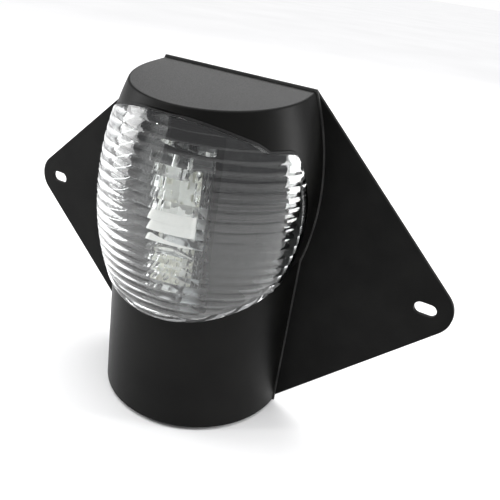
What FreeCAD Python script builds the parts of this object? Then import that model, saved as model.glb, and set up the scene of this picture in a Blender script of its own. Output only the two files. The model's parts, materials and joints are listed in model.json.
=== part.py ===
"""Masthead light with a foredeck flood, on a flat steel mounting plate.

Millimetres. +Z is up, -Y is forward (the way the light shines), +X is to the right seen from the front.
The origin is on the plate's back face, midway between its two mounting slots.
A moulded housing stands on the plate: a barrel-shaped upper part with the clear lens in a window that
wraps round its front and sides, and a straight column below it that is open underneath for the flood.
"""
import FreeCAD, Part
import math
import os
import Sketcher
from FreeCAD import Placement, Rotation, Vector

SIZES = {
    # mounting plate
    "slot_spacing": 200.0, "slot_length": 9.5, "slot_width": 5.5,
    "plate_thick": 2.0, "plate_rise": 74.7, "plate_drop": 74.1,
    "plate_top_half": 36.0, "plate_bottom_half": 41.5, "ear_radius": 11.3,
    "gasket_thick": 1.0, "gasket_lip": 0.5, "gasket_width": 4.0,
    # housing
    "wall": 2.6, "column_half": 43.3, "column_depth": 45.9, "column_back": 6.0,
    "axis_back": 11.5, "barrel_radius": 46.8, "barrel_profile": 105.0, "barrel_mid": 29.0, "shoulder": 1.3,
    "top_slope": 8.5, "top_wall": 3.0,
    # lens
    "lens_radius": 49.4, "lens_profile": 117.7, "lens_mid": 21.2, "lens_thick": 3.0,
    "seal_width": 1.1,
    # lamp chamber
    "tray_level": -24.0, "tray_thick": 2.0, "fit_gap": 0.4,
    "lamp_setback": 36.0, "screen_thick": 1.6, "screen_angle": 22.5, "screen_top": 57.0,
    # deck flood
    "flood_radius": 14.3, "flood_setback": 26.4,
    # fasteners and cable
    "screw_radius": 1.5, "screw_head_radius": 2.8, "boss_radius": 4.0,
    "cable_radius": 3.2, "cable_level": -52.0, "lead_radius": 0.9,
}

doc = FreeCAD.newDocument("navigation_light")
sheet = doc.addObject("Spreadsheet::Sheet", "sizes")
for line, (alias, number) in enumerate(SIZES.items(), start=1):
    sheet.set(f"A{line}", alias)
    sheet.set(f"B{line}", str(number))
    sheet.setAlias(f"B{line}", alias)
doc.recompute()

parts = []                      # every finished sub-part, in the order it is made


def size(name):
    """A driving dimension, read from the sheet."""
    return float(sheet.get(name))


# ---------------------------------------------------------------- helpers

def finish(item, label):
    item.Label = label
    parts.append(item)
    return item


def bind(item, **cells):
    """Ties properties of an object to expressions in the sheet; the last dot of a path is written as __."""
    for path, text in cells.items():
        item.setExpression(path.replace("__", "."), text)


def place(item, across, along, up):
    """Ties an object's position to three expressions."""
    for letter, text in zip("xyz", (across, along, up)):
        item.setExpression(f".Placement.Base.{letter}", text)


def block(wide, deep, tall, across, along, up, turn=None):
    """A box whose sizes and lowest corner are expressions; it can be turned about that corner."""
    item = doc.addObject("Part::Box", "block")
    bind(item, Length=wide, Width=deep, Height=tall)
    if turn is not None:
        item.Placement = Placement(Vector(), turn)
    place(item, across, along, up)
    return item


def rod(radius, tall, across, along, up, turn=None):
    """A cylinder along +Z, or turned to lie along another axis."""
    item = doc.addObject("Part::Cylinder", "rod")
    bind(item, Radius=radius, Height=tall)
    if turn is not None:
        item.Placement = Placement(Vector(), turn)
    place(item, across, along, up)
    return item


TO_BACK = Rotation(Vector(1, 0, 0), -90)        # +Z turned to +Y
TO_FRONT = Rotation(Vector(1, 0, 0), 90)        # +Z turned to -Y


def join(*items):
    item = doc.addObject("Part::MultiFuse", "join")
    item.Shapes = list(items)
    return item


def group(*items):
    """Several separate solids in one sub-part."""
    item = doc.addObject("Part::Compound", "group")
    item.Links = list(items)
    return item


def cut(base, *tools):
    item = doc.addObject("Part::Cut", "cut")
    item.Base = base
    item.Tool = tools[0] if len(tools) == 1 else join(*tools)
    return item


def rounded(base, radius):
    """Rounds the upright edges of a block."""
    item = doc.addObject("Part::Fillet", "rounded")
    item.Base = base
    doc.recompute()
    upright = []
    for number, edge in enumerate(base.Shape.Edges, start=1):
        along = edge.tangentAt(edge.FirstParameter)
        if abs(along.z) > 0.99:
            upright.append((number, radius, radius))
    item.Edges = upright
    return item


def solid(label, shape):
    """A sub-part whose shape is made directly."""
    item = doc.addObject("Part::Feature", label)
    item.Shape = shape
    return finish(item, label)


def plane_of(body, role):
    return next(item for item in body.Origin.OriginFeatures if item.Role == role)


def sketch_on(body, role, name, height=None):
    sketch = body.newObject("Sketcher::SketchObject", name)
    sketch.AttachmentSupport = (plane_of(body, role), [""])
    sketch.MapMode = "FlatFace"
    if height is not None:
        sketch.setExpression(".AttachmentOffset.Base.z", height)
    return sketch


def draw(sketch, curves):
    for curve in curves:
        sketch.addGeometry(curve, False)


def hole_circle(sketch, across, up, radius, cell):
    """A circle whose radius is tied to the sheet."""
    number = sketch.addGeometry(Part.Circle(Vector(across, up, 0), Vector(0, 0, 1), radius), False)
    rule = sketch.addConstraint(Sketcher.Constraint("Radius", number, radius))
    sketch.setExpression(f"Constraints[{rule}]", cell)


def pad(body, sketch, length, name="pad"):
    feature = body.newObject("PartDesign::Pad", name)
    feature.Profile = sketch
    feature.setExpression("Length", length)
    sketch.Visibility = False
    return feature


def pocket(body, sketch, name="pocket"):
    """Cuts the sketch right through the body, both ways."""
    doc.recompute()
    before = body.Shape.Volume
    feature = body.newObject("PartDesign::Pocket", name)
    feature.Profile = sketch
    feature.Type = 1
    feature.Midplane = True
    sketch.Visibility = False
    doc.recompute()
    if body.Shape.Volume >= before:
        raise RuntimeError(f"{body.Label}: {name} cuts nothing")
    return feature


def round_edges(shape, radius, along):
    """Names of the circular edges of one radius that lie at a given Y."""
    names = []
    for number, edge in enumerate(shape.Edges, start=1):
        curve = edge.Curve
        if isinstance(curve, Part.Circle) and abs(curve.Radius - radius) < 0.01:
            if abs(curve.Center.y - along) < 0.01:
                names.append(f"Edge{number}")
    return names


# ---------------------------------------------------------------- outlines

def barrel_half_width(level, radius, profile, mid):
    """The barrel's radius at a level: an arc that bulges by its own profile radius."""
    return radius - profile + math.sqrt(profile ** 2 - (level - mid) ** 2)


def shell_half_width(level):
    return barrel_half_width(level, size("barrel_radius"), size("barrel_profile"), size("barrel_mid"))


def ear_tangent(side, corner_half, corner_level):
    """Where the straight edge from a plate corner meets the round ear."""
    centre = Vector(side * size("slot_spacing") / 2, 0, 0)
    corner = Vector(side * corner_half, corner_level, 0)
    span = centre.sub(corner)
    swing = math.asin(size("ear_radius") / span.Length)
    reach = span.Length * math.cos(swing)
    turn = swing * side * (1 if corner_level > 0 else -1)
    heading = math.atan2(span.y, span.x) + turn
    return corner.add(Vector(reach * math.cos(heading), reach * math.sin(heading), 0))


def plate_outline():
    """A six-sided plate that narrows to a round ear at each end."""
    rise, drop = size("plate_rise"), -size("plate_drop")
    top, low = size("plate_top_half"), size("plate_bottom_half")
    tip = size("slot_spacing") / 2 + size("ear_radius")
    right_up, right_low = ear_tangent(1, top, rise), ear_tangent(1, low, drop)
    left_up, left_low = ear_tangent(-1, top, rise), ear_tangent(-1, low, drop)
    return [
        Part.LineSegment(Vector(-top, rise, 0), Vector(top, rise, 0)),
        Part.LineSegment(Vector(top, rise, 0), right_up),
        Part.Arc(right_up, Vector(tip, 0, 0), right_low),
        Part.LineSegment(right_low, Vector(low, drop, 0)),
        Part.LineSegment(Vector(low, drop, 0), Vector(-low, drop, 0)),
        Part.LineSegment(Vector(-low, drop, 0), left_low),
        Part.Arc(left_low, Vector(-tip, 0, 0), left_up),
        Part.LineSegment(left_up, Vector(-top, rise, 0)),
    ]


def slot_outline(across):
    reach = (size("slot_length") - size("slot_width")) / 2
    radius = size("slot_width") / 2
    left, right = across - reach, across + reach
    return [
        Part.LineSegment(Vector(left, radius, 0), Vector(right, radius, 0)),
        Part.Arc(Vector(right, radius, 0), Vector(right + radius, 0, 0), Vector(right, -radius, 0)),
        Part.LineSegment(Vector(right, -radius, 0), Vector(left, -radius, 0)),
        Part.Arc(Vector(left, -radius, 0), Vector(left - radius, 0, 0), Vector(left, radius, 0)),
    ]


def back_outline(grow):
    """The housing's outline where it meets the plate, grown outwards by an offset."""
    rise, drop, shoulder = size("plate_rise") + grow, -size("plate_drop") - grow, size("shoulder")
    top = shell_half_width(size("plate_rise")) + grow
    mid, waist = size("barrel_radius") + grow, size("column_half") + grow
    level = size("barrel_mid")
    curves = [Part.LineSegment(Vector(-top, rise, 0), Vector(top, rise, 0))]
    for side in (1, -1):
        curves += [
            Part.Arc(Vector(side * top, rise, 0), Vector(side * mid, level, 0), Vector(side * waist, shoulder, 0)),
            Part.LineSegment(Vector(side * waist, shoulder, 0), Vector(side * waist, drop, 0)),
        ]
    curves.append(Part.LineSegment(Vector(-waist, drop, 0), Vector(waist, drop, 0)))
    return curves


def column_form(inset, low, high, back):
    """The column's outline, inset and drawn up: half an ellipse, carried straight back from its widest line."""
    line = -size("column_back")
    half, depth = size("column_half") - inset, size("column_depth") - inset
    ellipse = Part.Ellipse(Vector(0, line - depth, low), Vector(half, line, low), Vector(0, line, low))
    front = Part.ArcOfEllipse(ellipse, -math.pi / 2, math.pi / 2)
    ends = [front.StartPoint, front.EndPoint]
    edges = [front.toShape()]
    if back > line:
        corners = [Vector(ends[1].x, back, low), Vector(ends[0].x, back, low)]
        route = [ends[1]] + corners + [ends[0]]
    else:
        route = [ends[1], ends[0]]
    edges += [Part.LineSegment(start, end).toShape() for start, end in zip(route, route[1:])]
    form = Part.Face(Part.Wire(edges)).extrude(Vector(0, 0, high - low))
    if back < line:
        form = form.cut(Part.makeBox(200, 50, high - low, Vector(-100, back, low)))
    return form


def barrel(radius, profile, mid, low, high, back):
    """The same D shape with bulging sides: an arc turned half round, and carried straight back."""
    axis = -size("axis_back")

    def at(level):
        return barrel_half_width(level, radius, profile, mid)

    half_way = (low + high) / 2
    edge = Part.Arc(Vector(at(low), axis, low), Vector(at(half_way), axis, half_way),
                    Vector(at(high), axis, high)).toShape()
    inner = [Vector(at(high), axis, high), Vector(0, axis, high), Vector(0, axis, low), Vector(at(low), axis, low)]
    face = Part.Face(Part.Wire([edge] + [
        Part.LineSegment(start, end).toShape() for start, end in zip(inner, inner[1:])]))
    front = face.revolve(Vector(0, axis, 0), Vector(0, 0, 1), -180)
    straight = face.extrude(Vector(0, back - axis, 0))
    mirrored = straight.mirror(Vector(0, 0, 0), Vector(1, 0, 0))
    return front.multiFuse([straight, mirrored]).removeSplitter()


# the lens opening in side view
WINDOW_FRONT, WINDOW_HALF = -75.0, 70.0                         # well past the lens, forwards and sideways
BROW_SLOPE, BROW_KNEE = 0.47, Vector(0, -39.0, 58.3)            # the brow rises forwards from its knee
LID_FRONT, LID_END = Vector(0, -35.5, 55.6), Vector(0, -28.0, 55.6)     # level stretch behind the knee
TOP_CORNER, LOW_CORNER = Vector(0, -23.4, 53.6), Vector(0, -23.1, 0.4)  # middles of the two rear corners
REAR_TOP, REAR_MID, REAR_LOW = Vector(0, -21.5, 49), Vector(0, -17.4, 27), Vector(0, -22.0, 5)
SILL_SLOPE, SILL_KNEE = 0.70, Vector(0, -25.5, -2.6)            # the sill falls forwards from its knee


def window_prism(inset):
    """The lens opening as a prism across the housing; inset moves its edge inwards."""
    brow_end = Vector(0, WINDOW_FRONT, BROW_KNEE.z + BROW_SLOPE * (BROW_KNEE.y - WINDOW_FRONT))
    sill_end = Vector(0, WINDOW_FRONT, SILL_KNEE.z + SILL_SLOPE * (WINDOW_FRONT - SILL_KNEE.y))
    curves = [
        Part.LineSegment(brow_end, BROW_KNEE),
        Part.LineSegment(BROW_KNEE, LID_FRONT),
        Part.LineSegment(LID_FRONT, LID_END),
        Part.Arc(LID_END, TOP_CORNER, REAR_TOP),
        Part.Arc(REAR_TOP, REAR_MID, REAR_LOW),
        Part.Arc(REAR_LOW, LOW_CORNER, SILL_KNEE),
        Part.LineSegment(SILL_KNEE, sill_end),
        Part.LineSegment(sill_end, brow_end),
    ]
    edges = [curve.toShape() for curve in curves]
    wire = Part.Wire(edges)
    if inset:
        wire = wire.makeOffset2D(-inset)
    prism = Part.Face(wire).extrude(Vector(2 * WINDOW_HALF, 0, 0))
    prism.translate(Vector(-WINDOW_HALF, 0, 0))
    return prism


def top_cutter(lift=0.0):
    """Everything above the top face, which falls away towards the front."""
    slab = Part.makeBox(160, 120, 60, Vector(-80, -120, 0))
    slab.rotate(Vector(0, 0, 0), Vector(1, 0, 0), size("top_slope"))
    slab.translate(Vector(0, 0, size("plate_rise") - lift))
    return slab


COLUMN_OVERLAP, BARREL_OVERLAP = 6.0, 16.0     # how far the column and the barrel reach into each other
BARREL_TOP = 80.0


def housing_body(inset, back, low):
    """The housing's outer form, or its inside when inset by the wall."""
    rim = size("shoulder")
    column = column_form(inset, low, rim + COLUMN_OVERLAP, back)
    upper = barrel(size("barrel_radius") - inset, size("barrel_profile") - inset, size("barrel_mid"),
                   rim - BARREL_OVERLAP, BARREL_TOP, back)
    whole = column.fuse(upper)
    lift = size("top_wall") if inset else 0.0
    return whole.cut(top_cutter(lift)).removeSplitter()


# ---------------------------------------------------------------- mounting

SCREW_SPOTS = ((-35, 61), (35, 61), (-37.5, -60), (37.5, -60))      # housing screws, from behind the plate
BOSS_DEPTH = 12.0
COUNTERSINK = 1.1
TOP_ROUNDING = 0.9
BEZEL_LEVEL, BEZEL_THICK = -size("plate_drop"), 3.0
DRAIN_BACK = -12.0
LEDGE_WIDTH = 6.0                    # the bezel's screws go into a ledge round the column's foot
BEZEL_SPOTS = ((-36.9, -12), (36.9, -12), (-23, -37.4), (23, -37.4))   # bezel screws, from underneath


def mounting_plate():
    body = doc.addObject("PartDesign::Body", "mounting_plate")
    outline = sketch_on(body, "XZ_Plane", "plate_outline")
    draw(outline, plate_outline())
    pad(body, outline, "sizes.plate_thick")
    slots = sketch_on(body, "XZ_Plane", "slots")
    for side in (1, -1):
        draw(slots, slot_outline(side * size("slot_spacing") / 2))
    pocket(body, slots)
    holes = sketch_on(body, "XZ_Plane", "screw_and_cable_holes")
    for across, up in SCREW_SPOTS:
        hole_circle(holes, across, up, size("screw_radius") + 0.2, "sizes.screw_radius + 0.2")
    hole_circle(holes, 0, size("cable_level"), size("cable_radius") + 2.3, "sizes.cable_radius + 2.3")
    drilled = pocket(body, holes)
    sink = body.newObject("PartDesign::Chamfer", "countersinks")
    sink.Base = (drilled, round_edges(drilled.Shape, size("screw_radius") + 0.2, 0.0))
    sink.Size = COUNTERSINK
    finish(body, "mounting_plate")


def plate_gasket():
    """Flat foam gasket that follows the housing's back edge."""
    body = doc.addObject("PartDesign::Body", "plate_gasket")
    outline = sketch_on(body, "XZ_Plane", "gasket_outline", "sizes.plate_thick")
    draw(outline, back_outline(size("gasket_lip")))
    draw(outline, back_outline(-size("gasket_width")))
    pad(body, outline, "sizes.gasket_thick")
    finish(body, "plate_gasket")


def cable_grommet():
    """Rubber grommet in the plate's cable hole: a waist in the hole and a flange inside the housing."""
    waist = rod("sizes.cable_radius + 2.3", "sizes.plate_thick", "0", "-sizes.plate_thick", "sizes.cable_level",
                TO_BACK)
    flange = rod("sizes.cable_radius + 4.5", "3", "0", "-sizes.plate_thick - 3", "sizes.cable_level", TO_BACK)
    bore = rod("sizes.cable_radius", "12", "0", "-8", "sizes.cable_level", TO_BACK)
    finish(cut(join(waist, flange), bore), "cable_grommet")


def housing_screws():
    """Countersunk screws through the plate into the housing's bosses."""
    screws = []
    for across, up in SCREW_SPOTS:
        head = doc.addObject("Part::Cone", "head")
        bind(head, Radius1="sizes.screw_head_radius - 0.1", Radius2="sizes.screw_radius - 0.05", Height="1.2")
        head.Placement = Placement(Vector(), TO_FRONT)
        place(head, f"{across}", "-0.05", f"{up}")
        shank = rod("sizes.screw_radius - 0.05", f"{BOSS_DEPTH - 2}", f"{across}", "-1", f"{up}", TO_FRONT)
        level_bar = block("3.2", "0.9", "0.7", f"{across - 1.6}", "-0.8", f"{up - 0.35}")
        upright_bar = block("0.7", "0.9", "3.2", f"{across - 0.35}", "-0.8", f"{up - 1.6}")
        screws.append(cut(join(head, shank), level_bar, upright_bar))
    finish(group(*screws), "housing_screws")


# ---------------------------------------------------------------- housing and lens

def housing():
    """One moulding: brow, sides and column, with the lens window and four screw bosses."""
    back = -size("plate_thick") - size("gasket_thick")
    outer = housing_body(0, back, -size("plate_drop"))
    inner = housing_body(size("wall"), 5.0, -size("plate_drop") - 5)
    shell = outer.cut(inner)
    bosses, pilots = [], []
    for across, up in SCREW_SPOTS:
        spot = Vector(across, back, up)
        bosses.append(Part.makeCylinder(size("boss_radius"), BOSS_DEPTH, spot, Vector(0, -1, 0)))
        pilots.append(Part.makeCylinder(size("screw_radius"), BOSS_DEPTH - 1.5, spot, Vector(0, -1, 0)))
    bosses = [boss.common(outer) for boss in bosses]
    ledge = column_ring(size("wall") - 0.5, LEDGE_WIDTH, BEZEL_LEVEL + BEZEL_THICK, BEZEL_LEVEL + BEZEL_THICK + 4)
    pilots += [Part.makeCylinder(1.3, 8, Vector(across, along, BEZEL_LEVEL)) for across, along in BEZEL_SPOTS]
    shell = shell.fuse(bosses + [ledge.common(outer)]).cut(pilots)
    shell = shell.cut(window_prism(0)).removeSplitter()
    solid("housing", shell.makeFillet(TOP_ROUNDING, brow_edges(shell)))


def brow_edges(shell):
    """The curved front edge and the two sides of the sloping top face."""
    slope = math.tan(math.radians(size("top_slope")))
    found = []
    for edge in shell.Edges:
        on_top = all(abs(point.z - size("plate_rise") - slope * point.y) < 0.02 for point in edge.discretize(7))
        if on_top and edge.CenterOfMass.y < -size("plate_thick") - size("gasket_thick") - 0.5:
            found.append(edge)
    return found


def lens_form(inset, low, high):
    """The lens's bulging form, or its inside when inset."""
    return barrel(size("lens_radius") - inset, size("lens_profile") - inset, size("lens_mid"), low, high, -14.0)


def lens():
    """Clear shell that fills the window inside its seal."""
    shell = lens_form(0, -30, 70).cut(lens_form(size("lens_thick"), -31, 71))
    solid("lens", shell.common(window_prism(size("seal_width"))))


def lens_seal():
    """Rubber band between the lens's edge and the window's edge."""
    proud = 0.3
    outer = housing_body(-proud, -6.0, -size("plate_drop"))
    hollow = lens_form(size("lens_thick"), -31, 71).common(housing_body(size("wall"), 5.0, -80))
    band = window_prism(0).cut(window_prism(size("seal_width")))
    solid("lens_seal", band.common(outer).cut(hollow))


# ---------------------------------------------------------------- lamp chamber

LAMP = Vector(0, -size("lamp_setback"), 0)             # the lamp stands on this upright line
TIER_HEIGHT = 16.0
LOWER_TIER, CASE_LEVEL, UPPER_TIER, CAP_LEVEL = -9.0, 11.5, 24.0, 40.5
POST_BACK, POST_TOP = -20.0, UPPER_TIER + TIER_HEIGHT          # back face and top of the tiers' post
FACETS = (-62, 0, 62)                # directions the emitter boards face, in degrees from straight ahead
BOARD_WIDE, BOARD_THICK, BOARD_BACK = 9.0, 1.2, 6.2            # an emitter board, and its distance from the line
CHIP_WIDE, CHIP_THICK, CHIP_ROW, CHIP_COLUMN = 2.8, 0.9, 4.7, 2.2
CASE_WIDE, CASE_DEEP, CASE_LEFT, CASE_FRONT = 19.0, 15.0, -11.3, -7.2
CAP_WIDE, CAP_DEEP, CAP_THICK = 25.0, 13.0, 4.5
LAMP_TURN = Rotation(Vector(0, 0, 1), 30)      # the case and the cap bar stand turned to the right by this


def column_ring(inset, width, low, high):
    """A D-shaped ring of a given width that fits the column."""
    back = -3.5
    return column_form(inset, low, high, back).cut(column_form(inset + width, low - 1, high + 1, back - width))


def tray():
    """Floor of the lamp chamber; it closes off the column below."""
    level = size("tray_level")
    floor = column_form(size("wall") + size("fit_gap"), level, level + size("tray_thick"), -5.0)
    passage = Part.makeCylinder(3.5, 10, Vector(0, LEAD_BACK, level - 4))
    solid("tray", floor.cut(passage))


def screen(side, label):
    """Upright screen that ends the light's arc, from beside the lamp back to the window's rear edge."""
    angle = math.radians(size("screen_angle"))
    beside, reach = 14.2, 36.0
    start = Vector(side * beside, LAMP.y + beside * math.tan(angle), 0)
    far = start.add(Vector(side * reach * math.cos(angle), reach * math.sin(angle), 0))
    across = Vector(-side * math.sin(angle), math.cos(angle), 0).multiply(size("screen_thick"))
    low, high = size("tray_level") + size("tray_thick"), size("screen_top")
    corners = [start, far, far.add(across), start.add(across), start]
    face = Part.Face(Part.makePolygon([corner.add(Vector(0, 0, low)) for corner in corners]))
    inside = housing_body(size("wall") + size("fit_gap"), -6.0, low)
    solid(label, face.extrude(Vector(0, 0, high - low)).common(inside))


def lamp_bracket():
    """Aluminium post that stands on the tray behind the lamp and carries its tiers."""
    base = size("tray_level") + size("tray_thick")
    foot = block("24", f"{POST_BACK - LAMP.y + 3}", "2", "-12", f"{LAMP.y - 3}", f"{base}")
    post = block("10", "2", f"{POST_TOP - base}", "-5", f"{POST_BACK - 2}", f"{base}")
    finish(join(foot, post), "lamp_bracket")
    finish(block("8", "4", "8", "-4", f"{POST_BACK}", f"{CONNECTOR_LEVEL}"), "lamp_connector")


def facet_place(angle, level):
    """The foot of the lamp's line in a tier, turned to one of the tier's facets."""
    return Placement(LAMP.add(Vector(0, 0, level)), Rotation(Vector(0, 0, 1), angle))


def tier(prefix, level):
    """One light tier: a heat-sink core with three boards of emitters behind a clear sleeve."""
    core = Part.makeCylinder(6.0, TIER_HEIGHT, LAMP.add(Vector(0, 0, level)))
    web = Part.makeBox(8, POST_BACK - LAMP.y - 4, TIER_HEIGHT, LAMP.add(Vector(-4, 2, level)))
    boards, chips = [], []
    board_front = -BOARD_BACK - BOARD_THICK
    for angle in FACETS:
        spot = facet_place(angle, level)
        corner = Vector(-BOARD_WIDE / 2, board_front, 0.5)
        board = Part.makeBox(BOARD_WIDE, BOARD_THICK, TIER_HEIGHT - 1, corner)
        board.Placement = spot
        boards.append(board)
        core = core.cut(facet_clearance(spot))
        for row in range(3):
            for column in (-CHIP_COLUMN, CHIP_COLUMN):
                corner = Vector(column - CHIP_WIDE / 2, board_front - CHIP_THICK, 2.2 + CHIP_ROW * row)
                chip = Part.makeBox(CHIP_WIDE, CHIP_THICK, CHIP_WIDE, corner)
                chip.Placement = spot
                chips.append(chip)
    solid(prefix + "_core", core.fuse(web).removeSplitter())
    solid(prefix + "_boards", Part.makeCompound(boards))
    solid(prefix + "_emitters", Part.makeCompound(chips))
    solid(prefix + "_optic", tier_optic(level))


def facet_clearance(spot):
    """Room behind a board: the core is flat there."""
    room = Part.makeBox(20, 10, TIER_HEIGHT + 2, Vector(-10, -BOARD_BACK - 10, -1))
    room.Placement = spot
    return room


def tier_optic(level):
    """Clear sleeve, twelve-sided outside and round inside, open at the back for the bracket."""
    sides = 12
    radius = 12.0
    corners = [LAMP.add(Vector(radius * math.sin(2 * math.pi * step / sides),
                               -radius * math.cos(2 * math.pi * step / sides), level)) for step in range(sides)]
    outer = Part.Face(Part.makePolygon(corners + corners[:1])).extrude(Vector(0, 0, TIER_HEIGHT))
    bore = Part.makeCylinder(9.6, TIER_HEIGHT + 2, LAMP.add(Vector(0, 0, level - 1)))
    slot = Part.makeBox(19, 14, TIER_HEIGHT + 2, LAMP.add(Vector(-9.5, 3.2, level - 1)))
    return outer.cut([bore, slot])


def beside_lamp(across, along):
    """The two expressions of a place beside the lamp's line, turned with the case and the cap bar."""
    spot = LAMP.add(LAMP_TURN.multVec(Vector(across, along, 0)))
    return f"{spot.x}", f"{spot.y}"


def driver_case():
    """White case between the two tiers."""
    height = UPPER_TIER - CASE_LEVEL - 0.8
    case = block(f"{CASE_WIDE}", f"{CASE_DEEP}", f"{height}", *beside_lamp(CASE_LEFT, CASE_FRONT),
                 f"{CASE_LEVEL}", LAMP_TURN)
    finish(rounded(case, 2.0), "driver_case")


def spacers():
    """Discs that stack the tiers, the case and the cap bar."""
    discs = []
    base = size("tray_level") + size("tray_thick")
    for low, high in ((base + 2, LOWER_TIER), (LOWER_TIER + TIER_HEIGHT, CASE_LEVEL),
                      (UPPER_TIER - 0.8, UPPER_TIER), (UPPER_TIER + TIER_HEIGHT, CAP_LEVEL)):
        discs.append(rod("5", f"{high - low}", "0", f"{LAMP.y}", f"{low}"))
    finish(group(*discs), "tier_spacers")


def cap_bar():
    """Clear bar across the top of the lamp, held to it by two screws."""
    bar = rounded(block(f"{CAP_WIDE}", f"{CAP_DEEP}", f"{CAP_THICK}", *beside_lamp(-CAP_WIDE / 2, -CAP_DEEP / 2),
                        f"{CAP_LEVEL}", LAMP_TURN), 3.0)
    spots, top = (-3, 3), CAP_LEVEL + CAP_THICK
    holes = [rod("1.1", "6", *beside_lamp(spot, 0), f"{CAP_LEVEL - 0.5}") for spot in spots]
    finish(cut(bar, *holes), "cap_bar")
    screws = []
    for spot in spots:
        shank = rod("1", f"{CAP_THICK}", *beside_lamp(spot, 0), f"{CAP_LEVEL}")
        head = rod("2", "1.4", *beside_lamp(spot, 0), f"{top}")
        slot = block("5", "0.5", "1", *beside_lamp(spot - 2.5, -0.25), f"{top + 0.7}", LAMP_TURN)
        screws.append(cut(join(shank, head), slot))
    finish(group(*screws), "cap_screws")


# ---------------------------------------------------------------- column: driver and deck flood

FLOOD = Vector(0, -size("flood_setback"), 0)
CONNECTOR_LEVEL = -2.0
LEAD_BACK = -12.5                    # the leads run up the column on this line


def flood_bezel():
    """Cover under the column with a round opening for the flood."""
    radius = size("flood_radius")
    plate = column_form(size("wall") + size("fit_gap"), BEZEL_LEVEL, BEZEL_LEVEL + BEZEL_THICK, -4.5)
    opening = Part.makeCone(radius + 1.5, radius - 0.5, BEZEL_THICK,
                            FLOOD.add(Vector(0, 0, BEZEL_LEVEL)))
    holes = [Part.makeCylinder(1.4, 6, Vector(across, along, BEZEL_LEVEL - 1)) for across, along in BEZEL_SPOTS]
    drains = [Part.makeCylinder(1.2, 6, Vector(across, DRAIN_BACK, BEZEL_LEVEL - 1)) for across in (-12, 12)]
    solid("flood_bezel", plate.cut([opening] + holes + drains))


def bezel_screws():
    screws = []
    for across, along in BEZEL_SPOTS:
        head = Part.makeCylinder(2.6, 1.4, Vector(across, along, BEZEL_LEVEL - 1.4))
        recess = Part.makeBox(3.2, 0.7, 0.8, Vector(across - 1.6, along - 0.35, BEZEL_LEVEL - 1.5))
        cross = Part.makeBox(0.7, 3.2, 0.8, Vector(across - 0.35, along - 1.6, BEZEL_LEVEL - 1.5))
        shank = Part.makeCylinder(1.3, 5.5, Vector(across, along, BEZEL_LEVEL))
        screws.append(head.cut([recess, cross]).fuse(shank))
    solid("bezel_screws", Part.makeCompound(screws))


def flood_stack():
    """Window, gasket, reflector, board, emitters and heat sink, one above the other."""
    level, opening = BEZEL_LEVEL + BEZEL_THICK, size("flood_radius")
    outer, throat = opening + 2.0, 8.0

    def at(rise):
        return FLOOD.add(Vector(0, 0, level + rise))

    solid("flood_gasket", Part.makeCylinder(outer, 1.0, at(0)).cut(Part.makeCylinder(opening, 3.0, at(-1))))
    solid("flood_window", Part.makeCylinder(outer, 2.4, at(1.0)))
    horn = Part.makeCone(opening + 1.2, throat + 1.2, 12.0, at(3.4)).fuse(Part.makeCylinder(outer, 1.2, at(3.4)))
    solid("flood_reflector", horn.cut(Part.makeCone(opening, throat, 12.0, at(3.4))).removeSplitter())
    solid("flood_board", Part.makeCylinder(throat + 2.0, 1.6, at(15.4)))
    chips = []
    for step in range(4):
        turn = math.pi / 4 + step * math.pi / 2
        corner = at(14.5).add(Vector(3.6 * math.cos(turn) - 1.7, 3.6 * math.sin(turn) - 1.7, 0))
        chips.append(Part.makeBox(3.4, 3.4, 0.9, corner))
    solid("flood_emitters", Part.makeCompound(chips))
    sink = Part.makeCylinder(throat + 4.0, 3.0, at(17.0))
    fins = [Part.makeBox(1.4, 16.0, 7.0, at(20.0).add(Vector(3.2 * fin - 10.3, -8.0, 0))) for fin in range(7)]
    solid("flood_heat_sink", sink.fuse(fins).removeSplitter())


def driver_board():
    """Circuit board on the column's back, with its parts and the terminal block."""
    board = block("50", "1.6", "28", "-25", "-8.6", "-54")
    hole = rod("sizes.cable_radius + 5.5", "6", "0", "-11", "sizes.cable_level", TO_BACK)
    finish(cut(board, hole), "driver_board")
    coil = rod("5.5", "6", "-17", "-8.6", "-36", TO_FRONT)
    cap_left = rod("3.5", "7", "-7", "-8.6", "-33.5", TO_FRONT)
    cap_right = rod("3.5", "7", "1", "-8.6", "-33.5", TO_FRONT)
    chip = block("8", "2", "8", "6", "-10.6", "-38")
    finish(group(coil, cap_left, cap_right, chip), "driver_components")
    base = block("9", "7", "12", "15.5", "-15.6", "-53.5")
    ways = [rod("1.6", "3", "20", "-15.7", f"{-50.5 + 3.9 * way - 0.5}", TO_BACK) for way in range(3)]
    finish(cut(base, *ways), "terminal_block")


def lead(label, route):
    """An insulated lead: straight runs joined by arcs."""
    radius = size("lead_radius")
    edges, last = [], route[0]
    for before, corner, after in zip(route, route[1:], route[2:]):
        entry, leaving = corner.sub(before), after.sub(corner)
        turn = entry.getAngle(leaving)
        bend = 0.45 * min(entry.Length, leaving.Length)
        into, out = Vector(entry).normalize(), Vector(leaving).normalize()
        start, end = corner.sub(Vector(into).multiply(bend)), corner.add(Vector(out).multiply(bend))
        arc_radius = bend / math.tan(turn / 2)
        inward = out.sub(into).normalize()
        middle = corner.add(inward.multiply(arc_radius / math.cos(turn / 2) - arc_radius))
        edges += [Part.LineSegment(last, start).toShape(), Part.Arc(start, middle, end).toShape()]
        last = end
    edges.append(Part.LineSegment(last, route[-1]).toShape())
    path = Part.Wire(edges)
    heading = Vector(route[1].sub(route[0])).normalize()
    ring = Part.Wire([Part.Circle(route[0], heading, radius).toShape()])
    solid(label, path.makePipeShell([ring], True, False))


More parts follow.
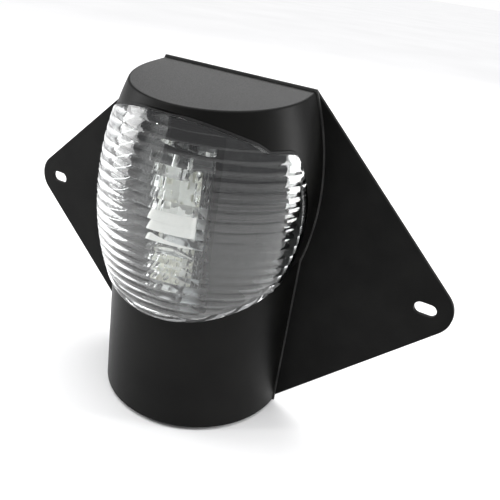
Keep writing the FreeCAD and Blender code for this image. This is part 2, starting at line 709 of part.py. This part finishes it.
def leads():
    """Two leads run from the terminal block, up through the tray, to the lamp's connector."""
    plug, block_top = POST_BACK + 2, -41.5
    for label, start, across, rise in (("lead_positive", 18.3, -1.3, 0.0), ("lead_negative", 21.7, 1.3, 2.6)):
        lead(label, [Vector(start, LEAD_BACK, block_top), Vector(start, LEAD_BACK, block_top + 10 + rise),
                     Vector(across, LEAD_BACK, block_top + 14 + rise), Vector(across, LEAD_BACK - 1, -17),
                     Vector(across, plug, -11), Vector(across, plug, CONNECTOR_LEVEL)])


for build in (mounting_plate, plate_gasket, cable_grommet, housing_screws, housing, lens, lens_seal, tray,
              lamp_bracket, driver_case, spacers, cap_bar, flood_bezel, bezel_screws, flood_stack,
              driver_board, leads):
    build()
screen(-1, "left_screen")
screen(1, "right_screen")
tier("upper", UPPER_TIER)
tier("lower", LOWER_TIER)

doc.recompute()
for item in doc.Objects:
    if "Invalid" in item.State or "Error" in item.State:
        raise RuntimeError(f"{item.Label} failed: {item.State}")
os.makedirs("parts", exist_ok=True)
for item in parts:
    if item.Shape.isNull() or not item.Shape.isValid():
        raise RuntimeError(f"{item.Label} has no valid shape")
    item.Shape.exportStep(f"parts/{item.Label}.step")
print(len(parts), "sub-parts written")
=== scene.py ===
"""Looks of the masthead light with a foredeck flood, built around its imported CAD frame.

Metres, in the frame's own axes: +Z up, -Y forward, +X to the right seen from the front.
The housing, plate and inner parts keep their CAD meshes and get their finishes here. The lens gets its
moulded ribs, the light tiers their pillowed optics and domed emitters, and the screens their fold.
"""
import json
import math

import bmesh
import bpy
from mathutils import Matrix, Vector


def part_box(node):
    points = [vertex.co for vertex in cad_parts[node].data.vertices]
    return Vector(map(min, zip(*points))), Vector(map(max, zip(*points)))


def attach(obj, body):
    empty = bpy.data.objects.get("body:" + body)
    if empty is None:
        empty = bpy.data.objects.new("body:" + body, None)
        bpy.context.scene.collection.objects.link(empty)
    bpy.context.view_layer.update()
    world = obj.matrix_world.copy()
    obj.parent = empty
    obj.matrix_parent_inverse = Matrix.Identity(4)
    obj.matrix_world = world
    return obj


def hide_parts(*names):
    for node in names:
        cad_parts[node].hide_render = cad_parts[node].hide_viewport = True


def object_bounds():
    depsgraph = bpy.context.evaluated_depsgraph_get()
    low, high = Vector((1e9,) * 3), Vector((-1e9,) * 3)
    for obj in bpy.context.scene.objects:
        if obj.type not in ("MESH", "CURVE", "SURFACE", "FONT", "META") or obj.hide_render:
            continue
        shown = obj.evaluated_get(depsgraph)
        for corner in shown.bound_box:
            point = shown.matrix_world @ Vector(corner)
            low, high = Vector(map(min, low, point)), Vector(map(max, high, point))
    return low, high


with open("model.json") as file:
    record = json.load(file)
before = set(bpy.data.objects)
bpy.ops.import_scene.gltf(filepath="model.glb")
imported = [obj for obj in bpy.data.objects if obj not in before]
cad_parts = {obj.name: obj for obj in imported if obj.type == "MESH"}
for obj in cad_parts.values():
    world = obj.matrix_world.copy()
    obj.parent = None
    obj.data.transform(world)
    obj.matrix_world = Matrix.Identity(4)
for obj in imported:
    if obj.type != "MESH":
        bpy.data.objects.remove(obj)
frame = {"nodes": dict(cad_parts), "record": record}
nodes = frame["nodes"]
cad_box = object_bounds()

MM = 0.001
SLOT_OF = {row["node"]: row["material_slot"] for row in frame["record"]["subparts"]}


# ---------------------------------------------------------------- material nodes

def new_material(name):
    material = bpy.data.materials.new(name)
    material.use_nodes = True
    return material, material.node_tree, material.node_tree.nodes["Principled BSDF"]


def link(tree, source, target):
    tree.links.new(source, target)


def noise(tree, scale, detail=3.0, stretch=(1, 1, 1)):
    """A noise over the object's own space; scale is in features per metre."""
    place = tree.nodes.new("ShaderNodeTexCoord")
    mapping = tree.nodes.new("ShaderNodeMapping")
    mapping.inputs["Scale"].default_value = stretch
    texture = tree.nodes.new("ShaderNodeTexNoise")
    texture.inputs["Scale"].default_value = scale
    texture.inputs["Detail"].default_value = detail
    link(tree, place.outputs["Object"], mapping.inputs["Vector"])
    link(tree, mapping.outputs["Vector"], texture.inputs["Vector"])
    return texture.outputs["Fac"]


def spread(tree, source, low, high, start=0.35, end=0.65):
    """Maps the middle of a noise onto a range of values."""
    node = tree.nodes.new("ShaderNodeMapRange")
    for name, value in (("From Min", start), ("From Max", end), ("To Min", low), ("To Max", high)):
        node.inputs[name].default_value = value
    link(tree, source, node.inputs["Value"])
    return node.outputs["Result"]


def blend(tree, share, first, second):
    """A colour between two others; each is a plain colour or a socket."""
    node = tree.nodes.new("ShaderNodeMix")
    node.data_type = "RGBA"
    link(tree, share, node.inputs[0])
    for socket, colour in ((node.inputs[6], first), (node.inputs[7], second)):
        if isinstance(colour, tuple):
            socket.default_value = (*colour, 1.0)
        else:
            link(tree, colour, socket)
    return node.outputs[2]


def edge_normal(tree, radius):
    """The surface's normal with its edges rounded off by a small radius."""
    node = tree.nodes.new("ShaderNodeBevel")
    node.samples = 6
    node.inputs["Radius"].default_value = radius
    return node.outputs["Normal"]


def edge_wear_and_highlight_mask(tree, soft, amount):
    """How strongly an edge is lightened, partly as wear and partly as a painted edge highlight: where the
    rounded normal leaves the flat one, broken up by noise.
    """
    flat = tree.nodes.new("ShaderNodeNewGeometry")
    dot = tree.nodes.new("ShaderNodeVectorMath")
    dot.operation = "DOT_PRODUCT"
    link(tree, flat.outputs["Normal"], dot.inputs[0])
    link(tree, soft, dot.inputs[1])
    turned = spread(tree, dot.outputs["Value"], amount, 0.0, 0.80, 0.995)
    broken = spread(tree, noise(tree, 700.0), 0.3, 1.0)
    both = tree.nodes.new("ShaderNodeMath")
    both.operation = "MULTIPLY"
    link(tree, turned, both.inputs[0])
    link(tree, broken, both.inputs[1])
    return both.outputs["Value"]


def bumped(tree, height, depth, base=None):
    """A normal that follows a height of the given depth in metres."""
    node = tree.nodes.new("ShaderNodeBump")
    node.inputs["Distance"].default_value = depth
    link(tree, height, node.inputs["Height"])
    if base is not None:
        link(tree, base, node.inputs["Normal"])
    return node.outputs["Normal"]


def solid_finish(name, dark, light, roughness, grain, depth, gloss=0.5, metal=0.0, patch=70.0,
                 stretch=(1, 1, 1), edge=0.35 * MM, wear_and_highlight_colour=None, wear_and_highlight_amount=0.0, coat=0.0):
    """An opaque finish: two shades in patches, a fine grain in the bump and roughness, softened edges, and
    where asked a lighter edge colour that is partly wear and partly a painted edge highlight.
    """
    material, tree, shader = new_material(name)
    colour = blend(tree, spread(tree, noise(tree, patch, 5.0, stretch), 0.0, 1.0), dark, light)
    soft = edge_normal(tree, edge)
    if wear_and_highlight_colour is not None:
        # Lighter colour along every edge: partly wear, partly a painted edge highlight.
        colour = blend(tree, edge_wear_and_highlight_mask(tree, soft, wear_and_highlight_amount), colour, wear_and_highlight_colour)
    link(tree, colour, shader.inputs["Base Color"])
    texture = noise(tree, grain, 2.0, stretch)
    link(tree, spread(tree, texture, *roughness), shader.inputs["Roughness"])
    link(tree, bumped(tree, texture, depth, soft), shader.inputs["Normal"])
    shader.inputs["Metallic"].default_value = metal
    shader.inputs["Specular IOR Level"].default_value = gloss
    shader.inputs["Coat Weight"].default_value = coat
    return material


def clear_finish(name, tint, deeper, ior, roughness, waviness, depth, gloss):
    """A clear moulding that lets lamp light through to what is behind it."""
    material, tree, shader = new_material(name)
    colour = blend(tree, spread(tree, noise(tree, 40.0), 0.0, 1.0), tint, deeper)
    link(tree, colour, shader.inputs["Base Color"])
    link(tree, spread(tree, noise(tree, 300.0), *roughness), shader.inputs["Roughness"])
    link(tree, bumped(tree, noise(tree, waviness), depth), shader.inputs["Normal"])
    shader.inputs["IOR"].default_value = ior
    shader.inputs["Specular IOR Level"].default_value = gloss
    shader.inputs["Transmission Weight"].default_value = 1.0
    path = tree.nodes.new("ShaderNodeLightPath")
    through = tree.nodes.new("ShaderNodeBsdfTransparent")
    through.inputs["Color"].default_value = (0.93, 0.94, 0.94, 1.0)
    either = tree.nodes.new("ShaderNodeMixShader")
    link(tree, path.outputs["Is Shadow Ray"], either.inputs[0])
    link(tree, shader.outputs["BSDF"], either.inputs[1])
    link(tree, through.outputs["BSDF"], either.inputs[2])
    link(tree, either.outputs["Shader"], tree.nodes["Material Output"].inputs["Surface"])
    return material


# ---------------------------------------------------------------- finishes, one for each slot

FINISHES = {
    # The lighter edge colour of the plate is partly wear and partly a painted edge highlight.
    "black_plate": solid_finish(
        "black_plate", (0.0055, 0.0056, 0.0054), (0.0080, 0.0081, 0.0077), (0.46, 0.60), 1500.0, 0.03 * MM,
        gloss=0.08, wear_and_highlight_colour=(0.045, 0.045, 0.043), wear_and_highlight_amount=0.35),
    # The lighter edge colour of the housing is partly wear and partly a painted edge highlight.
    "black_housing": solid_finish(
        "black_housing", (0.0040, 0.0040, 0.0038), (0.0062, 0.0062, 0.0057), (0.34, 0.46), 2600.0,
        0.018 * MM, gloss=0.09, patch=45.0, edge=0.5 * MM, wear_and_highlight_colour=(0.030, 0.030, 0.028), wear_and_highlight_amount=0.4),
    "black_rubber": solid_finish(
        "black_rubber", (0.010, 0.010, 0.010), (0.018, 0.018, 0.018), (0.60, 0.80), 900.0, 0.03 * MM,
        gloss=0.3),
    "gasket_foam": solid_finish(
        "gasket_foam", (0.030, 0.030, 0.030), (0.060, 0.060, 0.058), (0.75, 0.95), 2200.0, 0.10 * MM,
        gloss=0.2),
    "stainless": solid_finish(
        "stainless", (0.50, 0.50, 0.49), (0.62, 0.62, 0.61), (0.22, 0.42), 1200.0, 0.010 * MM, metal=1.0,
        stretch=(1, 1, 6)),
    "grey_plastic": solid_finish(
        "grey_plastic", (0.0045, 0.0047, 0.0048), (0.0075, 0.0078, 0.0078), (0.20, 0.32), 1800.0,
        0.015 * MM, gloss=0.16),
    "bare_aluminium": solid_finish(
        "bare_aluminium", (0.55, 0.56, 0.57), (0.70, 0.71, 0.71), (0.25, 0.45), 900.0, 0.012 * MM,
        metal=1.0, stretch=(6, 6, 1)),
    "white_plastic": solid_finish(
        "white_plastic", (0.82, 0.81, 0.78), (0.88, 0.87, 0.84), (0.25, 0.38), 1500.0, 0.006 * MM,
        coat=0.2),
    "board_white": solid_finish(
        "board_white", (0.70, 0.70, 0.68), (0.80, 0.80, 0.78), (0.30, 0.45), 1600.0, 0.010 * MM,
        patch=300.0),
    "board_green": solid_finish(
        "board_green", (0.020, 0.13, 0.055), (0.035, 0.18, 0.075), (0.28, 0.45), 1400.0, 0.012 * MM,
        patch=250.0),
    "emitter": solid_finish(
        "emitter", (0.62, 0.60, 0.50), (0.72, 0.71, 0.62), (0.28, 0.42), 2500.0, 0.010 * MM, patch=600.0),
    "component_black": solid_finish(
        "component_black", (0.015, 0.015, 0.017), (0.030, 0.030, 0.033), (0.45, 0.62), 2000.0, 0.015 * MM),
    "connector_white": solid_finish(
        "connector_white", (0.70, 0.69, 0.64), (0.80, 0.79, 0.75), (0.38, 0.52), 1500.0, 0.012 * MM),
    "mirror_finish": solid_finish(
        "mirror_finish", (0.80, 0.81, 0.82), (0.88, 0.89, 0.90), (0.05, 0.14), 500.0, 0.010 * MM,
        metal=1.0),
    "lead_red": solid_finish(
        "lead_red", (0.40, 0.018, 0.012), (0.52, 0.030, 0.020), (0.32, 0.46), 1500.0, 0.010 * MM),
    "lead_black": solid_finish(
        "lead_black", (0.010, 0.010, 0.011), (0.020, 0.020, 0.021), (0.32, 0.46), 1500.0, 0.010 * MM),
    "clear_lens": clear_finish(
        "clear_lens", (0.96, 0.97, 0.965), (0.92, 0.94, 0.935), 1.58, (0.0, 0.03), 90.0, 0.05 * MM, 0.07),
    "clear_optic": clear_finish(
        "clear_optic", (0.97, 0.97, 0.96), (0.93, 0.94, 0.93), 1.49, (0.0, 0.05), 220.0, 0.04 * MM, 0.5),
}


def dress(piece, slot):
    """Gives a piece its slot's finish."""
    piece.data.materials.clear()
    piece.data.materials.append(FINISHES[slot])


for node_name, node in nodes.items():
    for place in node.material_slots:
        place.material = FINISHES[SLOT_OF[node_name]]
    if not node.material_slots:
        node.data.materials.append(FINISHES[SLOT_OF[node_name]])


# ---------------------------------------------------------------- new pieces

def piece_from(name, mesh, slot, replaced=()):
    """Puts a finished mesh into the scene as a piece of the light."""
    piece = bpy.data.objects.new(name, mesh)
    bpy.context.scene.collection.objects.link(piece)
    dress(piece, slot)
    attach(piece, "root")
    for node_name in replaced:
        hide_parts(node_name)
    return piece


def mesh_of(name, work, sharp=30.0):
    """Turns a bmesh into a smooth-shaded mesh that stays sharp at real edges."""
    bmesh.ops.recalc_face_normals(work, faces=work.faces)
    mesh = bpy.data.meshes.new(name)
    work.to_mesh(mesh)
    work.free()
    for face in mesh.polygons:
        face.use_smooth = True
    mesh.set_sharp_from_angle(angle=math.radians(sharp))
    return mesh


def close_shell(work, outer, inner):
    """Covers two grids of points and joins their rims, as one closed shell."""
    rows, columns = len(outer) - 1, len(outer[0]) - 1
    for grid in (outer, inner):
        for low, high in zip(grid, grid[1:]):
            for column in range(columns):
                work.faces.new((low[column], low[column + 1], high[column + 1], high[column]))
    for side in (0, -1):
        for row in range(rows):
            work.faces.new((outer[row][side], outer[row + 1][side], inner[row + 1][side], inner[row][side]))
        for column in range(columns):
            work.faces.new((outer[side][column], outer[side][column + 1],
                            inner[side][column + 1], inner[side][column]))


# ---------------------------------------------------------------- lens

LENS_LOW, LENS_HIGH = (corner.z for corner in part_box("lens"))
AXIS = -11.5 * MM                       # the upright axis that the lens and the housing are turned about
LENS_MID = 21.2 * MM                    # level of the lens's widest point
LENS_RADIUS, LENS_PROFILE = 49.4 * MM, 117.7 * MM
LENS_WALL = 3.0 * MM
SEAL = 1.1 * MM
BROW_SLOPE, BROW_KNEE = 0.47, Vector((-39.0, 58.3)) * MM     # side view of the window: (y, z)
KNEE_SLOPE, LID_FRONT = 0.771, Vector((-35.5, 55.6)) * MM    # short steep stretch behind the brow's knee
SILL_SLOPE, SILL_KNEE = 0.70, Vector((-25.5, -2.6)) * MM
TOP_CORNER, TOP_CORNER_RADIUS = Vector((-28.16, 48.94)) * MM, 6.66 * MM
LOW_CORNER, LOW_CORNER_RADIUS = Vector((-31.82, 4.92)) * MM, 9.82 * MM
REAR, REAR_RADIUS = Vector((-75.2, 27.6)) * MM, 57.8 * MM
RIBS, ROWS_PER_RIB, LENS_COLUMNS = 20, 10, 168
LENS_REACH = math.radians(84)           # the window ends the lens before this turn on either side
MERGE = 0.004 * MM                      # points closer than this become one
RIB_DEPTH = 0.28 * MM
PLAIN_BORDER = 2.6 * MM                 # the ribs run out this far from the lens's edge


def lens_radius(level, inset):
    """The lens's radius at a level, outside or inset to its inner face."""
    profile = LENS_PROFILE - inset
    return LENS_RADIUS - inset - profile + math.sqrt(profile ** 2 - (level - LENS_MID) ** 2)


def arc_back(centre, radius, level):
    """How far back an arc of the window's outline reaches at a level, inside the seal."""
    reach = (radius - SEAL) ** 2 - (level - centre.y) ** 2
    return centre.x + math.sqrt(max(reach, 0.0))


def line_back(knee, slope, level, inward):
    """The same for a straight stretch; inward is 1 where the window lies above it and -1 below it."""
    shift = inward * SEAL * math.hypot(1.0, slope)
    return knee.x + inward * (level - shift - knee.y) / slope


def window_back(level):
    """How far back the lens reaches at a level, inside its seal."""
    limits = [arc_back(REAR, REAR_RADIUS, level), line_back(SILL_KNEE, SILL_SLOPE, level, 1)]
    if LOW_CORNER.y - LOW_CORNER_RADIUS + SEAL < level < LOW_CORNER.y:
        limits.append(arc_back(LOW_CORNER, LOW_CORNER_RADIUS, level))
    if level > TOP_CORNER.y:
        if level < LID_FRONT.y - SEAL:
            limits.append(arc_back(TOP_CORNER, TOP_CORNER_RADIUS, level))
        else:
            limits.append(line_back(LID_FRONT, KNEE_SLOPE, level, -1))
            limits.append(line_back(BROW_KNEE, BROW_SLOPE, level, -1))
    return min(limits)


def edge_distance(point, limit, turn, radius):
    """How far a point of the lens is from the lens's edge."""
    side = (limit - abs(turn)) * radius
    sill = point.z - SILL_KNEE.y - SILL_SLOPE * (point.y - SILL_KNEE.x)
    brow = BROW_KNEE.y + BROW_SLOPE * (BROW_KNEE.x - point.y) - point.z
    return min(side, sill / math.hypot(1.0, SILL_SLOPE) - SEAL, brow / math.hypot(1.0, BROW_SLOPE) - SEAL)


def lens_point(level, turn, inset, ribbed):
    """A point of the lens's outer or inner face, kept inside the window's outline."""
    radius = lens_radius(level, inset)
    back = AXIS - window_back(level)
    if back >= radius:
        return Vector((0.0, AXIS - back, level))
    limit = math.acos(back / radius)
    turn = max(-limit, min(limit, turn))
    point = Vector((radius * math.sin(turn), AXIS - radius * math.cos(turn), level))
    if ribbed:
        phase = (level - LENS_LOW) / (LENS_HIGH - LENS_LOW) * RIBS % 1.0
        border = max(0.0, min(1.0, edge_distance(point, limit, turn, radius) / PLAIN_BORDER))
        cut = RIB_DEPTH * (2.0 * phase - 1.0) ** 2 * border ** 2 * (3.0 - 2.0 * border)
        point -= Vector((math.sin(turn), -math.cos(turn), 0.0)) * cut
    return point


def ribbed_lens():
    """Clear shell with a row of moulded ribs round its outside."""
    rows = RIBS * ROWS_PER_RIB
    turns = [LENS_REACH * (2.0 * column / LENS_COLUMNS - 1.0) for column in range(LENS_COLUMNS + 1)]
    work = bmesh.new()
    outer, inner = [], []
    for row in range(rows + 1):
        share = min(max(row / rows, 0.0005), 0.9995)
        level = LENS_LOW + (LENS_HIGH - LENS_LOW) * share
        outer.append([work.verts.new(lens_point(level, turn, 0.0, True)) for turn in turns])
        inner.append([work.verts.new(lens_point(level, turn, LENS_WALL, False)) for turn in turns])
    close_shell(work, outer, inner)
    bmesh.ops.remove_doubles(work, verts=work.verts, dist=MERGE)
    bmesh.ops.dissolve_degenerate(work, edges=work.edges, dist=MERGE)
    piece_from("ribbed_lens", mesh_of("ribbed_lens", work, 12.0), "clear_lens", ["lens"])


ribbed_lens()


# ---------------------------------------------------------------- light tiers

LAMP = Vector((0.0, -36.0, 0.0)) * MM   # the tiers stand on this upright line
FACETS = (-62.0, 0.0, 62.0)             # directions the emitters face, in degrees from straight ahead
OPTIC_BORE, OPTIC_SKIN, PILLOW = 9.7 * MM, 11.2 * MM, 0.6 * MM
OPTIC_GAP = math.radians(42)            # half of the sleeve's opening at the back
PILLOWS_AROUND, PILLOWS_UP = 18, 5
CHIP_FACE, CHIP_COLUMN, CHIP_ROW, CHIP_HALF = 8.33 * MM, 2.2 * MM, 4.7 * MM, 1.4 * MM
DOME_RADIUS, DOME_FLATNESS = 1.15 * MM, 0.62


def swelling(share, count):
    """The profile of a row of pillows, from 0 between two of them to 1 on a crown."""
    return abs(math.sin(math.pi * count * share)) ** 0.5


def pillowed_optic(name, node_name):
    """Clear sleeve whose outside is moulded in rows of small pillows; it is open at the back."""
    low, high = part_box(node_name)
    columns, rows = 144, 48
    work = bmesh.new()
    outer, inner = [], []
    for row in range(rows + 1):
        rise = row / rows
        level = low.z + (high.z - low.z) * rise
        for grid, bulge in ((outer, PILLOW * swelling(rise, PILLOWS_UP)), (inner, None)):
            points = []
            for column in range(columns + 1):
                share = column / columns
                turn = -math.pi + OPTIC_GAP + share * 2.0 * (math.pi - OPTIC_GAP)
                if bulge is None:
                    radius = OPTIC_BORE
                else:
                    radius = OPTIC_SKIN + bulge * swelling(share, PILLOWS_AROUND)
                across, along = LAMP.x + radius * math.sin(turn), LAMP.y - radius * math.cos(turn)
                points.append(work.verts.new((across, along, level)))
            grid.append(points)
    close_shell(work, outer, inner)
    piece_from(name, mesh_of(name, work, 35.0), "clear_optic", [node_name])


def dome(work, middle, ahead, across):
    """A flattened half ball that stands on a chip and is closed underneath."""
    rows, columns = 5, 16
    crown = work.verts.new(middle + ahead * DOME_RADIUS * DOME_FLATNESS)
    base = work.verts.new(middle)
    loops = []
    for row in range(rows - 1, -1, -1):
        lift = math.pi / 2 * row / rows
        centre = middle + ahead * DOME_RADIUS * DOME_FLATNESS * math.sin(lift)
        steps = [2 * math.pi * column / columns for column in range(columns)]
        loops.append([work.verts.new(centre + (across * math.cos(step) + Vector((0, 0, math.sin(step))))
                                     * DOME_RADIUS * math.cos(lift)) for step in steps])
    for column in range(columns):
        after = (column + 1) % columns
        work.faces.new((crown, loops[0][column], loops[0][after]))
        for upper, lower in zip(loops, loops[1:]):
            work.faces.new((upper[column], lower[column], lower[after], upper[after]))
        work.faces.new((base, loops[-1][after], loops[-1][column]))


def emitter_domes(name, node_name):
    """A clear silicone dome over every emitter of a tier."""
    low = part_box(node_name)[0].z
    work = bmesh.new()
    for angle in FACETS:
        turn = math.radians(angle)
        ahead = Vector((math.sin(turn), -math.cos(turn), 0.0))
        across = Vector((math.cos(turn), math.sin(turn), 0.0))
        for row in range(3):
            for side in (-CHIP_COLUMN, CHIP_COLUMN):
                middle = LAMP + ahead * CHIP_FACE + across * side
                middle.z = low + CHIP_HALF + CHIP_ROW * row
                dome(work, middle, ahead, across)
    piece_from(name, mesh_of(name, work, 40.0), "clear_optic")


for tier in ("upper", "lower"):
    pillowed_optic(tier + "_pillowed_optic", tier + "_optic")
    emitter_domes(tier + "_emitter_domes", tier + "_emitters")


# ---------------------------------------------------------------- screens

CREASE_TOP, CREASE_LOW = Vector((13.5, -30.4, 43.3)) * MM, Vector((33.3, -22.2, 10.3)) * MM
SCREEN_ANGLE, FOLD_ANGLE = math.radians(22.5), math.radians(9.0)


def folded_screen(name, node_name, side):
    """The screen with its upper outer corner folded back along a slanting crease."""
    back = Vector((-math.sin(SCREEN_ANGLE), math.cos(SCREEN_ANGLE), 0.0))
    outward = back.cross((CREASE_LOW - CREASE_TOP).normalized()).normalized()
    if outward.x < 0:
        outward = -outward
    mirror = Vector((side, 1.0, 1.0))
    work = bmesh.new()
    work.from_mesh(nodes[node_name].data)
    bmesh.ops.remove_doubles(work, verts=work.verts, dist=0.001 * MM)
    bmesh.ops.bisect_plane(work, geom=work.verts[:] + work.edges[:] + work.faces[:], dist=0.001 * MM,
                           plane_co=CREASE_TOP * mirror, plane_no=outward * mirror)
    for vertex in work.verts:
        beyond = (vertex.co * mirror - CREASE_TOP).dot(outward)
        if beyond > 0:
            vertex.co += back * mirror * beyond * math.tan(FOLD_ANGLE)
    piece_from(name, mesh_of(name, work, 5.0), "grey_plastic", [node_name])


folded_screen("left_folded_screen", "left_screen", -1.0)
folded_screen("right_folded_screen", "right_screen", 1.0)


# ---------------------------------------------------------------- stage

FLOOR_HALF, FLOOR_GAP = 60.0, 0.5 * MM


def floor():
    """Pale sheet under and round the light."""
    level = cad_box[0][2] - FLOOR_GAP
    work = bmesh.new()
    corners = [work.verts.new((across * FLOOR_HALF, along * FLOOR_HALF, level))
               for across, along in ((-1, -1), (1, -1), (1, 1), (-1, 1))]
    work.faces.new(corners)
    mesh = bpy.data.meshes.new("floor")
    work.to_mesh(mesh)
    work.free()
    sheet = bpy.data.objects.new("floor", mesh)
    bpy.context.scene.collection.objects.link(sheet)
    mesh.materials.append(solid_finish("floor_paper", (0.86, 0.86, 0.86), (0.90, 0.90, 0.90), (0.7, 0.9),
                                       300.0, 0.01 * MM, gloss=0.1, patch=3.0))


def softbox(name, azimuth, elevation, distance, wide, tall, strength):
    """A soft light that faces the lamp; azimuth 0 is straight ahead of it. Strength is its brightness."""
    turn, rise = math.radians(azimuth), math.radians(elevation)
    towards = Vector((math.sin(turn) * math.cos(rise), -math.cos(turn) * math.cos(rise), math.sin(rise)))
    light = bpy.data.lights.new(name, "AREA")
    light.shape = "RECTANGLE"
    light.size, light.size_y = wide, tall
    light.energy = strength * math.pi * wide * tall
    place = bpy.data.objects.new(name, light)
    place.location = towards * distance
    place.rotation_euler = towards.to_track_quat("Z", "Y").to_euler()
    bpy.context.scene.collection.objects.link(place)


def sky_light(strength, spread_angle):
    """A wide, even light from overhead that whitens the whole floor."""
    light = bpy.data.lights.new("overhead", "SUN")
    light.energy = strength
    light.angle = math.radians(spread_angle)
    place = bpy.data.objects.new("overhead", light)
    bpy.context.scene.collection.objects.link(place)


def studio():
    """The lamps, and a sky that lights the scene softly but shows white behind the floor's edge."""
    sky_light(2.2, 60)
    softbox("back_top", 202, 42, 1.2, 1.0, 0.7, 3.0)
    softbox("left_side", -72, 14, 0.9, 0.40, 0.8, 4.0)
    softbox("right_strip", 114, 8, 0.9, 0.22, 0.9, 14.0)
    softbox("key", -46, 36, 1.1, 0.07, 0.07, 120.0)
    world = bpy.data.worlds.new("studio")
    bpy.context.scene.world = world
    world.use_nodes = True
    tree = world.node_tree
    path = tree.nodes.new("ShaderNodeLightPath")
    sky = blend(tree, path.outputs["Is Camera Ray"], (0.40, 0.40, 0.41), (1.0, 1.0, 1.0))
    link(tree, sky, tree.nodes["Background"].inputs["Color"])
    bpy.context.scene.view_settings.view_transform = "Standard"


def camera():
    """At the right and above, with the horizon tilted."""
    azimuth, elevation, roll = math.radians(25.49), math.radians(24.60), math.radians(8.893)
    target, distance = Vector((18.2, -2.0, -1.9)) * MM, 278.2 * MM
    away = Vector((math.sin(azimuth) * math.cos(elevation), -math.cos(azimuth) * math.cos(elevation),
                   math.sin(elevation)))
    right = Vector((math.cos(azimuth), math.sin(azimuth), 0.0))
    up = away.cross(right)
    across = right * math.cos(roll) + up * math.sin(roll)
    rising = up * math.cos(roll) - right * math.sin(roll)
    view = bpy.data.objects.new("camera", bpy.data.cameras.new("camera"))
    view.data.lens, view.data.sensor_width = 43.56, 36.0
    view.data.clip_start = 0.01
    bpy.context.scene.collection.objects.link(view)
    place = view.matrix_world.copy()
    for row in range(3):
        place[row][0], place[row][1], place[row][2] = across[row], rising[row], away[row]
        place[row][3] = target[row] + away[row] * distance
    view.matrix_world = place
    bpy.context.scene.camera = view


floor()
studio()
camera()
